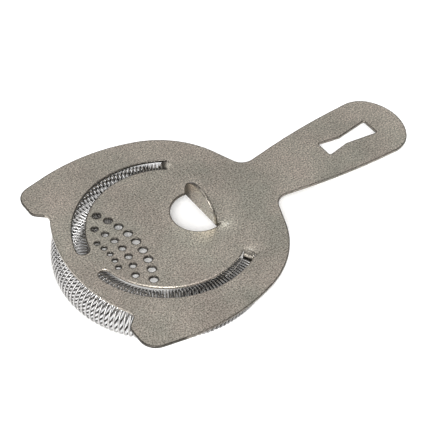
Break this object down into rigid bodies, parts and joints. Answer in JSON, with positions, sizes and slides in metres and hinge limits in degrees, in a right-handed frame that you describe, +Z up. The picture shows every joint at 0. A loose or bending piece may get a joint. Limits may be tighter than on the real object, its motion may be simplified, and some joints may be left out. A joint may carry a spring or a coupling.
{
  "type": "cocktail strainer",
  "caption": "Flat stamped plate with ears, handle and finger tab, and a long coil spring threaded round its rim to strain ice from a shaken drink.",
  "frame": {"origin": "centre of the two arc slots on the underside of the plate, the face that rests on a shaker tin's rim", "axes": "+X towards the end of the handle, +Z up out of the plate on the side of the finger tab, +Y across the plate"},
  "size_m": [0.1589, 0.1026, 0.0326],
  "materials": {
    "plate_steel": "tumbled satin, fine grain",
    "spring_wire": "bright drawn wire"
  },
  "bodies": {
    "plate": {"strainer_plate": "plate_steel", "spring_left_arm": "spring_wire", "spring_right_arm": "spring_wire"},
    "spring_front": {"spring_front": "spring_wire"}
  },
  "joints": [
    {"name": "spring_press", "type": "slide", "parent": "plate", "child": "spring_front", "axis": [1, 0, 0], "range_m": [0, 0.006], "stiffness_N_per_m": 150, "deforming": ["spring_left_arm", "spring_right_arm"]}
  ]
}
